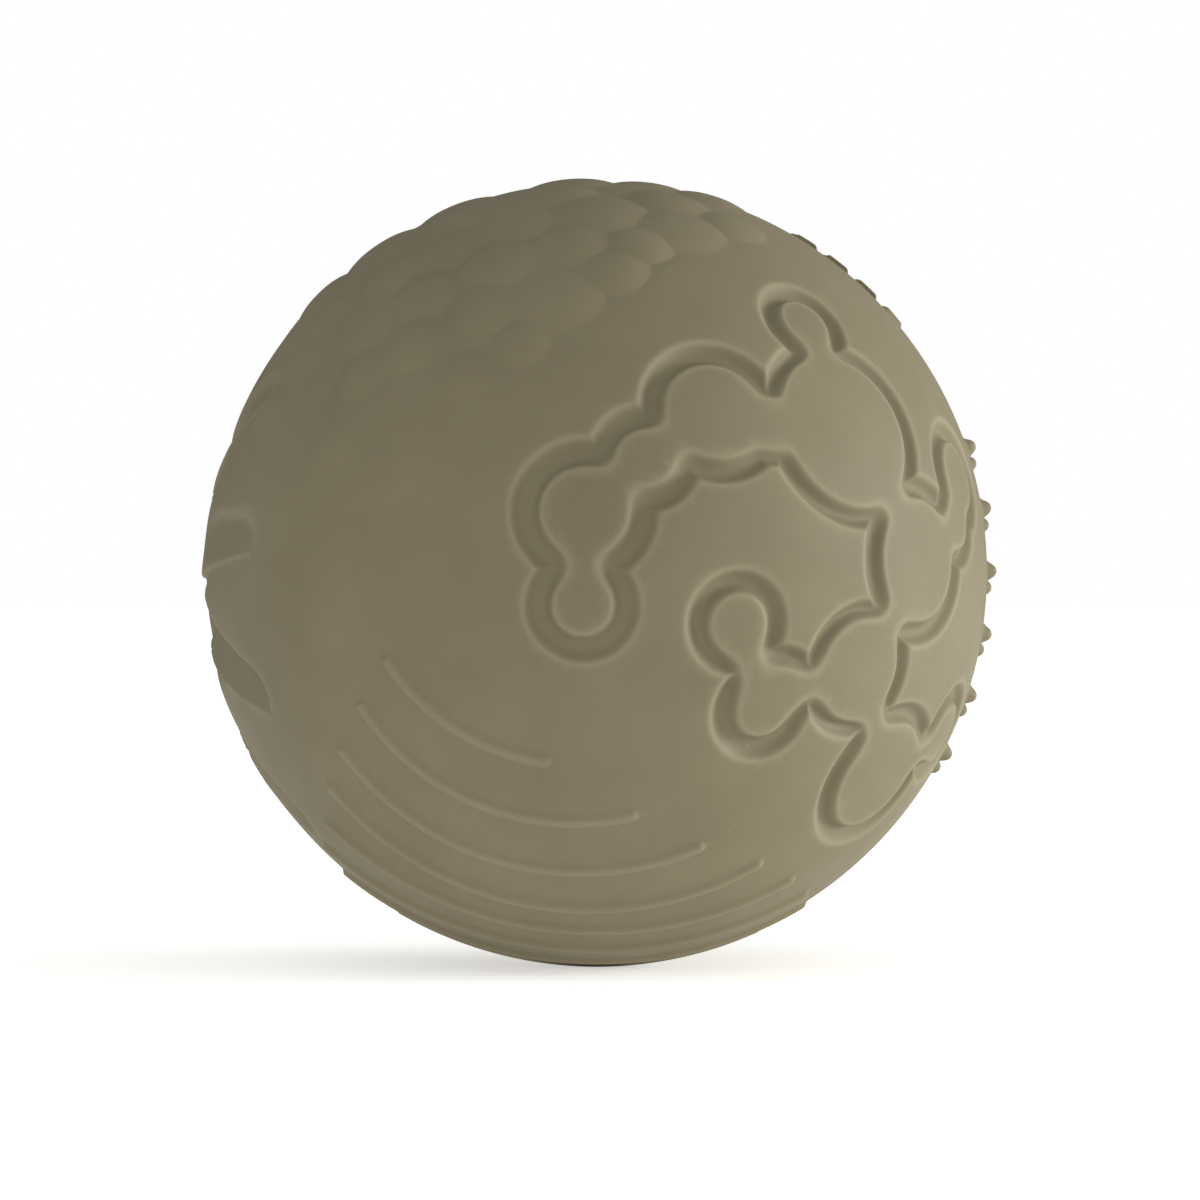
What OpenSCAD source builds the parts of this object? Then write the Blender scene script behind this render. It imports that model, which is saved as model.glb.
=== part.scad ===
// Sensory ball: a hollow rubber ball with eight raised or sunken touch patterns.
// The centre of the ball is the origin. -Y is the front, +Z is up, and the
// inflation valve is at the rear pole on +Y. Places on the ball are angles:
// longitude from the front towards +X, and latitude up from the equator.

/* [Ball] */
// Diameter over the smooth skin
ball_d = 177.8; // [150:0.1:240]
// Thickness of the moulded skin
wall = 3.4; // [3.2:0.1:6]
// Glue line between bonded rubber pieces
bond_gap = 0.05; // [0.02:0.01:0.1]

/* [Bead network] */
// Depth of the channel round the beads
channel_depth = 2; // [0.8:0.1:2.2]
// Usual width of the channel round the beads
channel_w = 4.4; // [3.4:0.1:5.4]
// Width of the necks that join the beads
neck_w = 5.2; // [4:0.1:8]

/* [Scales] */
// Height of a scale's crown over the skin
scale_h = 1.2; // [0.5:0.1:2]

/* [Ribs] */
// Width of a rib
rib_w = 2.2; // [1.6:0.1:3]
// Height of a rib over the skin
rib_h = 1; // [0.5:0.1:1]
// Diameter of the round knob at a rib's end
rib_tip_d = 2.6; // [2.4:0.1:3.4]

/* [Petals] */
// Depth of a petal pocket
petal_depth = 1.6; // [0.8:0.1:2.2]
// Width of a petal pocket
petal_w = 10.6; // [7:0.1:12.4]
// Height of the swelling behind the petals
swell_h = 2; // [0.5:0.1:2.4]

/* [Nubs] */
// Diameter of a nub at its root
nub_d = 3.8; // [2.6:0.1:5]
// Diameter of a nub's round tip
nub_tip_d = 2.2; // [1.4:0.1:2.4]
// Height of a nub over the skin
nub_h = 2.2; // [1.4:0.1:3]

/* [Ripples] */
// Width of a ripple ring
ripple_w = 2.8; // [2:0.1:4]
// Height of a ripple ring over the skin
ripple_h = 1.2; // [0.6:0.1:1.2]

/* [Dimples] */
// Diameter of a dimple at the skin
dimple_d = 8.4; // [6:0.1:10]
// Depth of a dimple
dimple_depth = 1.6; // [0.8:0.1:2.2]

/* [Blocks] */
// Side of a raised block
block_w = 6.4; // [4:0.1:7]
// Height of a raised block over the skin
block_h = 1.4; // [0.6:0.1:2]

/* [Seam] */
// Width of the tape inside the seam
band_w = 16; // [10:0.5:26]
// Thickness of the tape inside the seam
band_t = 0.8; // [0.5:0.1:1.2]

/* [Valve] */
// Diameter of the sunken seat round the valve
seat_d = 13; // [12:0.1:18]
// Depth of the sunken seat
seat_depth = 1; // [0.8:0.1:1.2]
// Diameter of the valve housing where it passes the skin
housing_d = 10; // [9.2:0.1:11]
// Diameter of the housing's flange inside the ball
flange_d = 22; // [18:0.1:30]
// Thickness of the flange at its rim
flange_t = 1.6; // [1:0.1:2.4]
// Length of the housing from the seat inwards
housing_len = 17; // [14:0.1:24]
// Diameter of the patch that backs the skin round the valve
patch_d = 44; // [36:0.5:60]
// Thickness of the patch
patch_t = 1.2; // [0.8:0.1:2]
// Diameter of the pull-out core
core_d = 5.2; // [4:0.1:5.4]
// Length of the core below its head
core_len = 16; // [12:0.1:17]
// Running clearance round the core, on the radius
core_gap = 0.05; // [0.02:0.01:0.08]
// Diameter of the core's head
head_d = 8; // [7:0.1:8.6]
// Thickness of the core's head
head_t = 0.8; // [0.5:0.1:0.9]
// Gap under the head
head_gap = 0.1; // [0.05:0.01:0.1]
// Diameter of the guide hole for the inflation needle
guide_d = 2; // [1.2:0.1:2.4]
// Depth of the guide hole
guide_depth = 7; // [5:0.1:10]

/* [Hidden] */
skin_colour = "#7f7a63";
inner_colour = "#6b6654";
valve_colour = "#55503f";
ball_r = ball_d / 2;
inner_r = ball_r - wall;
// Every cut runs at least this far past the face that it opens
overrun = wall;

// Beads: longitude, latitude, half the angle that a bead spans, and the share of
// channel_w that the channel is wide there
bead_places = [
    [-2, -4.5, 4.4, 1.15],
    [-1.7, 8.5, 6.4, 1.25],
    [7, 16, 4.1, 1.2],
    [18, 23, 7.4, 1.05],
    [41, 20.5, 11.7, 0.85],
    [40.5, 38, 4.2, 0.95],
    [53, 1.8, 9, 1],
    [41.5, -13.8, 7.6, 0.75],
    [25, -19.5, 3.9, 1.15],
    [20, -7, 4.4, 0.95],
    [54.5, -30.5, 8.8, 0.95],
    [69, 14, 5.4, 0.95],
    [73, -24, 4.8, 0.95],
    [27, -16.8, 3.6, 1.05],
    [65, 7, 3.4, 0.95],
    [26.5, 21, 3.6, 0.8]
];
// Necks join these pairs of beads, counted from 0
bead_necks = [
    [0, 1], [1, 2], [2, 3], [3, 15], [15, 4], [4, 5], [4, 6], [6, 7],
    [7, 13], [13, 8], [8, 9], [7, 10], [6, 14], [14, 11], [10, 12]
];

// Scales: longitude, latitude and half the angle that a scale spans
scale_places = [
    [1, 64, 6.4], [23.5, 58, 6.2], [44, 60, 4.8], [-6, 53.5, 5.2],
    [10.5, 54, 4.4], [3.5, 47.5, 4.7], [-7.5, 42, 6.2], [-21.5, 49.5, 5.4],
    [-21.5, 40, 4.8], [-12.5, 33.5, 3.8], [-21, 28.5, 4.1], [-24, 60.5, 5.4],
    [-35.5, 43, 4.8], [-33, 33.5, 4.6], [-47.5, 37, 5.4], [-63, 40, 4],
    [-51.5, 26.5, 3.8], [-41, 29, 4], [-43.5, 18, 4.2], [-32.5, 13.5, 4.8],
    [-62, 32, 4], [-64, 23.5, 3.8], [-39, 53, 5.1], [-50, 47.5, 4.8],
    [-52, 63, 5.6], [-20, 71.5, 5.8], [30, 69, 5.6], [-66, 52.5, 5.4],
    [-80, 44.5, 5], [-86, 56, 5.6], [-88, 69, 5.8], [-30, 82.5, 6],
    [100, 82, 6], [68, 71.5, 5.4], [-150, 77, 5.6]
];

// Ribs: the first, middle and last place of each rib
rib_places = [
    [[-31, -12.5], [-19, -23.5], [-8, -27]],
    [[-37, -19], [-17.5, -35], [6, -36]],
    [[-43.5, -26], [-18, -45], [19.5, -42]],
    [[-50.5, -32], [-19.5, -54], [34.5, -46]],
    [[-59, -39], [-20, -61], [48, -50]],
    [[-70, -44], [-25, -68.5], [62, -54]],
    [[-80, -50], [-35, -76.5], [78, -58]],
    [[-84, -60], [-60, -84], [84, -66]]
];

// The petals lie round this place, at even steps from the first, and lean back
// towards their inner ends
petal_hub = [-110, -3];
petal_count = 12;
petal_first = 8.5;
petal_lean = 9;
petal_inner = 16;
petal_outer = 52;
// The swelling behind the petals: its place and half its angle
swell_place = [-112, -8, 40];

// Nubs stand in a skew grid that starts at this place
nub_start = [86, 18.6];
nub_columns = 6;
nub_rows = 6;
nub_step = [8.6, -9.2];
nub_skew = -2.4;

// Ripples are rings round this place
ripple_hub = [178, 50];
ripple_count = 4;
ripple_step = 6;

// Dimples lie in three rings round this place
dimple_hub = [172, -46];
dimple_rings = 3;
dimple_step = 8;

// Blocks stand in a square grid round this place
block_hub = [104, 50];
block_side = 4;
block_step = 5.6;

seat_r = ball_r - seat_depth;
flange_top_r = inner_r - patch_t - bond_gap;
flange_rim_z = sqrt(pow(flange_top_r, 2) - pow(flange_d / 2, 2));
bore_r = core_d / 2 + core_gap;

// Unit vector of a place on the ball
function spot(place) =
    let (lon = place[0], lat = place[1])
    [sin(lon) * cos(lat), -cos(lon) * cos(lat), sin(lat)];
function unit(v) = v / norm(v);
// Angle of a direction about the line that along_line() turns onto Z
function turn_of(line, v) =
    let (tilt = acos(line[2]), swing = atan2(line[1], line[0]))
    atan2(v * [-sin(swing), cos(swing), 0],
          v * [cos(tilt) * cos(swing), cos(tilt) * sin(swing), -sin(tilt)]);
function wrap(angle) = angle - 360 * floor(angle / 360);
function is_front(place, reach) = spot(place)[1] < sin(reach);
function is_rear(place, reach) = spot(place)[1] > -sin(reach);
function on_half(place, reach, front) = front ? is_front(place, reach) : is_rear(place, reach);

// Turns +Z to a place on the ball, with X to the east and Y to the north there
module at_place(place) {
    rotate([90 - place[1], 0, place[0]]) children();
}

// Turns +Z onto a line through the centre, and +X towards a direction
module along_line(line, from) {
    rotate([0, acos(line[2]), atan2(line[1], line[0])])
        rotate([0, 0, turn_of(line, from)])
            children();
}

// A round post on the ball's radius, spanning an angle to each side of its place
module post(place, angle, depth) {
    at_place(place)
        translate([0, 0, ball_r * cos(angle) - 2 * depth])
            cylinder(r = ball_r * sin(angle), h = ball_r * (1 - cos(angle)) + 2 * depth + overrun, $fn = 72);
}

// A wall of even width that follows the great circle from one place to another
module band(start, end, width, depth) {
    line = unit(cross(start, end));
    along_line(line, start)
        rotate_extrude(angle = acos(start * end), $fn = 240)
            translate([ball_r - 2 * depth, -width / 2])
                square([2 * depth + overrun, width]);
}

// A straight block from one place to another, standing through the skin
module neck(start, end, width, depth) {
    span = norm(end - start);
    low = ball_r * norm(end + start) / 2 - 2 * depth;
    along_line(unit(start + end), end)
        translate([-ball_r * span / 2, -width / 2, low])
            cube([ball_r * span, width, ball_r + 2 * overrun - low]);
}

// A low dome over a place: a ball through the dome's rim and its crown,
// of which only the cap that stands out of the skin is kept
module dome(place, angle, height) {
    top = ball_r + height;
    centre = (pow(top, 2) - pow(ball_r, 2)) / (2 * (top - ball_r * cos(angle)));
    at_place(place)
        difference() {
            translate([0, 0, centre])
                sphere(r = top - centre, $fn = 96);
            sphere(r = ball_r - wall / 2, $fn = 240);
        }
}

module scales(front) {
    for (s = scale_places)
        if (on_half(s, s[2], front))
            dome(s, s[2], scale_h);
}

module bead_channel() {
    difference() {
        for (b = bead_places)
            post(b, b[2] + asin(b[3] * channel_w / ball_r), channel_depth);
        sphere(r = ball_r - channel_depth, $fn = 240);
        for (b = bead_places)
            post(b, b[2], 2 * channel_depth);
        for (n = bead_necks)
            neck(spot(bead_places[n[0]]), spot(bead_places[n[1]]), neck_w, channel_depth);
    }
}

// One rib: a round bar bent along the circle through its three places
module rib(places) {
    start = spot(places[0]);
    middle = spot(places[1]);
    end = spot(places[2]);
    line = unit(cross(middle - start, end - start));
    spread = acos(line * start);
    sweep = wrap(turn_of(line, end) - turn_of(line, start));
    bar_r = ball_r + rib_h - rib_w / 2;
    along_line(line, start)
        rotate_extrude(angle = sweep, $fn = 180)
            translate([bar_r * sin(spread), bar_r * cos(spread)])
                circle(d = rib_w, $fn = 24);
    for (tip = [places[0], places[2]])
        at_place(tip)
            translate([0, 0, bar_r])
                sphere(d = rib_tip_d, $fn = 32);
}

module ribs() {
    for (places = rib_places)
        rib(places);
}

// The place at an angle and a turn from a hub, as a unit vector
function around(hub, angle, turn) =
    let (lon = hub[0], lat = hub[1],
         east = [cos(lon), sin(lon), 0],
         north = [sin(lon) * -sin(lat), -cos(lon) * -sin(lat), cos(lat)])
    cos(angle) * spot(hub) + sin(angle) * (cos(turn) * east + sin(turn) * north);

module petals() {
    difference() {
        for (i = [0 : petal_count - 1]) {
            turn = petal_first + i * 360 / petal_count;
            band(around(petal_hub, petal_inner, turn + petal_lean),
                 around(petal_hub, petal_outer, turn), petal_w, petal_depth);
        }
        sphere(r = ball_r - petal_depth, $fn = 240);
    }
}

module nub(place) {
    tip_r = nub_tip_d / 2;
    at_place(place) {
        translate([0, 0, ball_r - wall / 2])
            cylinder(d1 = nub_d, d2 = nub_tip_d, h = wall / 2 + nub_h - tip_r, $fn = 32);
        translate([0, 0, ball_r + nub_h - tip_r])
            sphere(r = tip_r, $fn = 32);
    }
}

module nubs(front) {
    for (i = [0 : nub_columns - 1])
        for (j = [0 : nub_rows - 1]) {
            place = [nub_start[0] + i * nub_step[0], nub_start[1] + j * nub_step[1] + i * nub_skew];
            if (on_half(place, 2, front))
                nub(place);
        }
}

module ripples() {
    bar_r = ball_r + ripple_h - ripple_w / 2;
    at_place(ripple_hub)
        for (i = [1 : ripple_count])
            rotate_extrude($fn = 120)
                translate([bar_r * sin(i * ripple_step), bar_r * cos(i * ripple_step)])
                    circle(d = ripple_w, $fn = 32);
}

// A dimple is cut by a ball that meets the skin in a circle of dimple_d
module dimple() {
    rim_z = sqrt(pow(ball_r, 2) - pow(dimple_d / 2, 2));
    low_z = ball_r - dimple_depth;
    ball_size = (pow(dimple_d / 2, 2) + pow(rim_z - low_z, 2)) / (2 * (rim_z - low_z));
    translate([0, 0, low_z + ball_size])
        sphere(r = ball_size, $fn = 64);
}

module dimples() {
    at_place(dimple_hub) {
        dimple();
        for (ring = [1 : dimple_rings])
            for (k = [0 : 6 * ring - 1])
                rotate([0, 0, k * 60 / ring])
                    rotate([0, ring * dimple_step, 0])
                        dimple();
    }
}

module blocks() {
    middle = (block_side - 1) / 2;
    intersection() {
        at_place(block_hub)
            for (i = [0 : block_side - 1])
                for (j = [0 : block_side - 1])
                    rotate([(i - middle) * block_step, (j - middle) * block_step, 0])
                        translate([-block_w / 2, -block_w / 2, ball_r - wall / 2])
                            cube([block_w, block_w, wall / 2 + block_h + overrun]);
        sphere(r = ball_r + block_h, $fn = 240);
    }
}

// One half of the skin, outside the hollow and on its own side of the seam
module half_skin(front) {
    reach = ball_r + 2 * nub_h;
    difference() {
        union() {
            sphere(r = ball_r, $fn = 240);
            scales(front);
            dome(swell_place, swell_place[2], swell_h);
            nubs(front);
            if (front)
                ribs();
            if (!front) {
                ripples();
                blocks();
            }
        }
        sphere(r = inner_r, $fn = 180);
        petals();
        if (front)
            bead_channel();
        if (!front) {
            dimples();
            valve_way();
        }
        translate([-reach, front ? 0 : -reach, -reach])
            cube([2 * reach, reach, 2 * reach]);
    }
}

// The sunken seat and the hole that the valve housing passes
module valve_way() {
    at_place([180, 0]) {
        translate([0, 0, seat_r])
            cylinder(d = seat_d, h = seat_depth + overrun, $fn = 72);
        translate([0, 0, inner_r - overrun])
            cylinder(r = housing_d / 2 + bond_gap, h = wall + 2 * overrun, $fn = 72);
    }
}

module front_half() {
    color(skin_colour) half_skin(true);
}

module rear_half() {
    color(skin_colour) half_skin(false);
}

// A tape glued inside the two halves, across their joint
module seam_band() {
    outer = inner_r - bond_gap;
    color(inner_colour)
        rotate([90, 0, 0])
            intersection() {
                difference() {
                    sphere(r = outer, $fn = 180);
                    sphere(r = outer - band_t, $fn = 180);
                }
                translate([0, 0, -band_w / 2])
                    cylinder(r = ball_r, h = band_w, $fn = 180);
            }
}

// A round patch glued inside the rear half, which the flange is glued to
module valve_patch() {
    outer = inner_r - bond_gap;
    color(inner_colour)
        at_place([180, 0])
            difference() {
                intersection() {
                    sphere(r = outer, $fn = 180);
                    translate([0, 0, inner_r / 2])
                        cylinder(d = patch_d, h = inner_r, $fn = 90);
                }
                sphere(r = outer - patch_t, $fn = 180);
                cylinder(r = housing_d / 2 + bond_gap, h = ball_r, $fn = 72);
            }
}

// The tube that holds the core, with a flange under the patch
module valve_housing() {
    color(valve_colour)
        at_place([180, 0])
            difference() {
                union() {
                    translate([0, 0, seat_r - housing_len])
                        cylinder(d = housing_d, h = housing_len, $fn = 72);
                    intersection() {
                        sphere(r = flange_top_r - bond_gap, $fn = 180);
                        translate([0, 0, flange_rim_z - flange_t])
                            cylinder(d = flange_d, h = ball_r, $fn = 90);
                    }
                }
                translate([0, 0, seat_r - housing_len - overrun])
                    cylinder(r = bore_r, h = housing_len + 2 * overrun, $fn = 72);
            }
}

// The self-sealing plug with its guide hole for the needle
module valve_core() {
    head_z = seat_r + head_gap;
    color(valve_colour)
        at_place([180, 0])
            difference() {
                union() {
                    translate([0, 0, head_z - core_len])
                        cylinder(d = core_d, h = core_len + head_t / 2, $fn = 72);
                    translate([0, 0, head_z])
                        cylinder(d = head_d, h = head_t, $fn = 72);
                }
                translate([0, 0, head_z + head_t - guide_depth])
                    cylinder(d = guide_d, h = guide_depth + overrun, $fn = 48);
            }
}

front_half();
rear_half();
seam_band();
valve_patch();
valve_housing();
valve_core();
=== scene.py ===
"""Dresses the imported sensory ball: a hollow ball of moulded rubber with eight touch patterns.

The skin's two half shells are built from one height field over the ball, in the same
places as the solids. Heights and sizes are in millimetres inside this file, and meshes
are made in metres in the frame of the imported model: -Y is the front and +Z is up.
"""

import logging
import math
from abc import ABC, abstractmethod
from dataclasses import dataclass, field
from enum import Enum
from typing import Callable, Sequence

import bmesh
import bpy
import numpy as np
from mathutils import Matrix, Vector

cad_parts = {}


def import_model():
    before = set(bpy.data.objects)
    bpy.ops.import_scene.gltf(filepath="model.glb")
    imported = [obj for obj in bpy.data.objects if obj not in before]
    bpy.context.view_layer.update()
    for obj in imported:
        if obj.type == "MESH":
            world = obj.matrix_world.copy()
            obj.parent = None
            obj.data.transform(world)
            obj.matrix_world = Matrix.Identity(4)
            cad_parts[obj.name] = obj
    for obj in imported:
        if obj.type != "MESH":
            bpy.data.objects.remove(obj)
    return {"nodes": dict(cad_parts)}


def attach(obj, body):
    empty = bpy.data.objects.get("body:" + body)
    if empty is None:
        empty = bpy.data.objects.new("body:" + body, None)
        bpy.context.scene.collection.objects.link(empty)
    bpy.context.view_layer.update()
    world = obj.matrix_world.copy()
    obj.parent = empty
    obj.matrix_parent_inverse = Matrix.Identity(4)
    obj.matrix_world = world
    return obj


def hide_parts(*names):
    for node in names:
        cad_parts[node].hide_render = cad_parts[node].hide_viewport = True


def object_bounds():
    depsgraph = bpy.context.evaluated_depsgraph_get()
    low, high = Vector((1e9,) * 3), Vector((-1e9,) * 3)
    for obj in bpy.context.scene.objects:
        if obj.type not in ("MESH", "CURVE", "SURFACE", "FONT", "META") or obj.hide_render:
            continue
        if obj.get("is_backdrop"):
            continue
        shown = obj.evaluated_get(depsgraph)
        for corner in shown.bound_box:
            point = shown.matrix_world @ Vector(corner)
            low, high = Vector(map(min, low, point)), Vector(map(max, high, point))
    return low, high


log = logging.getLogger("sensory_ball")

MM = 0.001
BALL_R = 88.9
WALL = 3.4
INNER_R = BALL_R - WALL
# Further than any pattern reaches, in mm
FAR = 99.0
# Turns in radians that differ by less are the same
SAME_TURN = 1e-9


class Side(Enum):
    """The two half shells, by the sign of their Y."""

    FRONT = -1
    REAR = 1


def spot(lon: float, lat: float) -> np.ndarray:
    """Finds a place on the ball.

    Args:
        lon: Longitude from the front towards +X, in degrees.
        lat: Latitude up from the equator, in degrees.

    Returns:
        The unit vector of the place.
    """
    a, b = math.radians(lon), math.radians(lat)
    return np.array([math.sin(a) * math.cos(b), -math.cos(a) * math.cos(b), math.sin(b)])


def compass(lon: float, lat: float) -> tuple[np.ndarray, np.ndarray, np.ndarray]:
    """Finds the directions at a place on the ball.

    Args:
        lon: Longitude from the front towards +X, in degrees.
        lat: Latitude up from the equator, in degrees.

    Returns:
        The unit vectors to the east, to the north and outwards.
    """
    a, b = math.radians(lon), math.radians(lat)
    east = np.array([math.cos(a), math.sin(a), 0.0])
    north = np.array([-math.sin(a) * math.sin(b), math.cos(a) * math.sin(b), math.cos(b)])
    return east, north, spot(lon, lat)


def unit(v: np.ndarray) -> np.ndarray:
    """Returns vectors scaled to a length of one."""
    return v / np.linalg.norm(v, axis=-1, keepdims=True)


def ease(t: np.ndarray | float) -> np.ndarray:
    """Returns a smooth step that is 0 up to t = 0 and 1 from t = 1."""
    t = np.clip(t, 0.0, 1.0)
    return t * t * (3.0 - 2.0 * t)


def bell(d: np.ndarray, width: float) -> np.ndarray:
    """Returns 1 where a distance is 0, which fades both ways within about the width."""
    return np.exp(-((d / width) ** 2))


def surface_distance(n: np.ndarray, place: np.ndarray) -> np.ndarray:
    """Returns the distance over the skin from each direction to a place, in mm."""
    return BALL_R * np.arccos(np.clip(n @ place, -1.0, 1.0))


def blend_min(a: np.ndarray, b: np.ndarray, reach: float) -> np.ndarray:
    """Returns the lesser of two distances, rounded where they differ by less than reach."""
    h = np.clip(0.5 + 0.5 * (b - a) / reach, 0.0, 1.0)
    return b * (1.0 - h) + a * h - reach * h * (1.0 - h)


def line_distance(n: np.ndarray, start: np.ndarray, end: np.ndarray) -> np.ndarray:
    """Measures over the skin to the great circle's arc between two places.

    Args:
        n: Directions, one a row.
        start: The arc's first place.
        end: The arc's last place.

    Returns:
        The distance of each direction in mm.
    """
    axis = unit(np.cross(start, end))
    off = n @ axis
    flat = n - off[:, None] * axis
    inside = (np.cross(start, flat) @ axis >= 0) & (np.cross(flat, end) @ axis >= 0)
    ends = np.minimum(surface_distance(n, start), surface_distance(n, end))
    return np.where(inside, BALL_R * np.abs(np.arcsin(np.clip(off, -1, 1))), ends)


@dataclass
class Wall:
    """The side of a moulded recess or block: a broad round lip and a tight foot.

    Distances are from the middle of the wall's straight part, positive on the low side.
    """

    lip: float
    straight: float
    foot: float

    def share(self, s: np.ndarray) -> np.ndarray:
        """Finds how far the wall has gone down.

        The lip goes down by a quarter of its width, and the foot by half of its own.

        Args:
            s: Distances from the middle of the wall's straight part, in mm.

        Returns:
            The share of the full depth at each distance, from 0 to 1.
        """
        s = s + self.straight / 2.0
        over_lip = np.clip((s + self.lip) / self.lip, 0.0, 1.0)
        over_foot = np.clip((s - self.straight) / self.foot, 0.0, 1.0)
        down = self.lip * over_lip**4 / 4.0
        down = down + np.clip(s, 0.0, self.straight)
        down = down + self.foot * (over_foot - over_foot**2 / 2.0)
        return down / (self.lip / 4.0 + self.straight + self.foot / 2.0)


class Relief(ABC):
    """One touch pattern, as heights over the smooth skin.

    It lies within its reach, in degrees, of its middle, a longitude and a latitude.
    """

    middle: tuple[float, float] = (0.0, 0.0)
    reach: float = 180.0

    @abstractmethod
    def height(self, n: np.ndarray) -> np.ndarray:
        """Returns the pattern's height in mm in each direction."""

    def rim(self, n: np.ndarray) -> np.ndarray:
        """Returns how much painted highlight each place gets, from 0 to 1."""
        return np.zeros(len(n))

    def within(self, n: np.ndarray, measure: Callable[[np.ndarray], np.ndarray]) -> np.ndarray:
        """Measures only where the pattern reaches.

        Args:
            n: Directions, one a row.
            measure: The pattern's height or rim method.

        Returns:
            What it measures there, and 0 elsewhere.
        """
        near = n @ spot(*self.middle) > math.cos(math.radians(self.reach))
        out = np.zeros(len(n))
        out[near] = measure(n[near])
        return out


@dataclass
class BeadNetwork(Relief):
    """Level beads joined by necks, standing in one sunken channel.

    Each bead has its longitude, its latitude and its half width in degrees, and the share
    of the usual width that the channel has there. Widths are between the walls' middles.
    Two bands get a painted highlight: on the beads' edge and on the skin along the channel.
    """

    middle = (36.0, 2.0)
    reach = 58.0
    depth: float = 2.1
    channel: float = 4.4
    half_neck: float = 2.6
    neck_blend: float = 5.2
    cusp_blend: float = 0.7
    # Painted highlight: the two bands' distances from the beads' edge and the outer edge, and their
    # width, in mm
    highlight_on_bead: float = 0.8
    highlight_on_skin: float = 0.9
    highlight_width: float = 0.8
    bead_wall: Wall = field(default_factory=lambda: Wall(lip=1.1, straight=0.5, foot=1.7))
    outer_wall: Wall = field(default_factory=lambda: Wall(lip=1.9, straight=0.5, foot=1.9))
    beads: Sequence[tuple[float, float, float, float]] = (
        (-2, -4.5, 4.4, 1.15), (-1.7, 8.5, 6.4, 1.25), (7, 16, 4.1, 1.2), (18, 23, 7.4, 1.05),
        (41, 20.5, 11.7, 0.85), (40.5, 38, 4.2, 0.95), (53, 1.8, 9, 1), (41.5, -13.8, 7.6, 0.75),
        (25, -19.5, 3.9, 1.15), (20, -7, 4.4, 0.95), (54.5, -30.5, 8.8, 0.95), (69, 14, 5.4, 0.95),
        (73, -24, 4.8, 0.95), (27, -16.8, 3.6, 1.05), (65, 7, 3.4, 0.95), (26.5, 21, 3.6, 0.8),
    )
    necks: Sequence[tuple[int, int]] = (
        (0, 1), (1, 2), (2, 3), (3, 15), (15, 4), (4, 5), (4, 6), (6, 7),
        (7, 13), (13, 8), (8, 9), (7, 10), (6, 14), (14, 11), (10, 12),
    )

    def contours(self, n: np.ndarray) -> tuple[np.ndarray, np.ndarray]:
        """Measures to the beads' edge and to the channel's outer edge.

        Args:
            n: Directions, one a row.

        Returns:
            Two signed distances in mm: past the beads' edge, and inside the outer edge.
        """
        inner = np.full(len(n), FAR)
        outer = np.full(len(n), FAR)
        for lon, lat, half, share in self.beads:
            d = surface_distance(n, spot(lon, lat)) - BALL_R * math.radians(half)
            inner = blend_min(inner, d, self.neck_blend)
            outer = blend_min(outer, d - share * self.channel, self.cusp_blend)
        for first, last in self.necks:
            ends = [spot(*self.beads[k][:2]) for k in (first, last)]
            d = line_distance(n, *ends) - self.half_neck
            inner = blend_min(inner, d, self.neck_blend)
        return inner, -outer

    def height(self, n: np.ndarray) -> np.ndarray:
        """Returns the channel's depth below the skin, as heights."""
        inner, outer = self.contours(n)
        return -self.depth * self.bead_wall.share(inner) * self.outer_wall.share(outer)

    def rim(self, n: np.ndarray) -> np.ndarray:
        """Finds the bands along both lips, which are painted lighter as a highlight.

        Args:
            n: Directions, one a row.

        Returns:
            How much painted highlight each place gets, from 0 to 1.
        """
        inner, outer = self.contours(n)
        on_bead = bell(inner + self.highlight_on_bead, self.highlight_width) * (outer > 0)
        on_skin = bell(outer + self.highlight_on_skin, self.highlight_width)
        return np.maximum(on_bead, on_skin)


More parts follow.
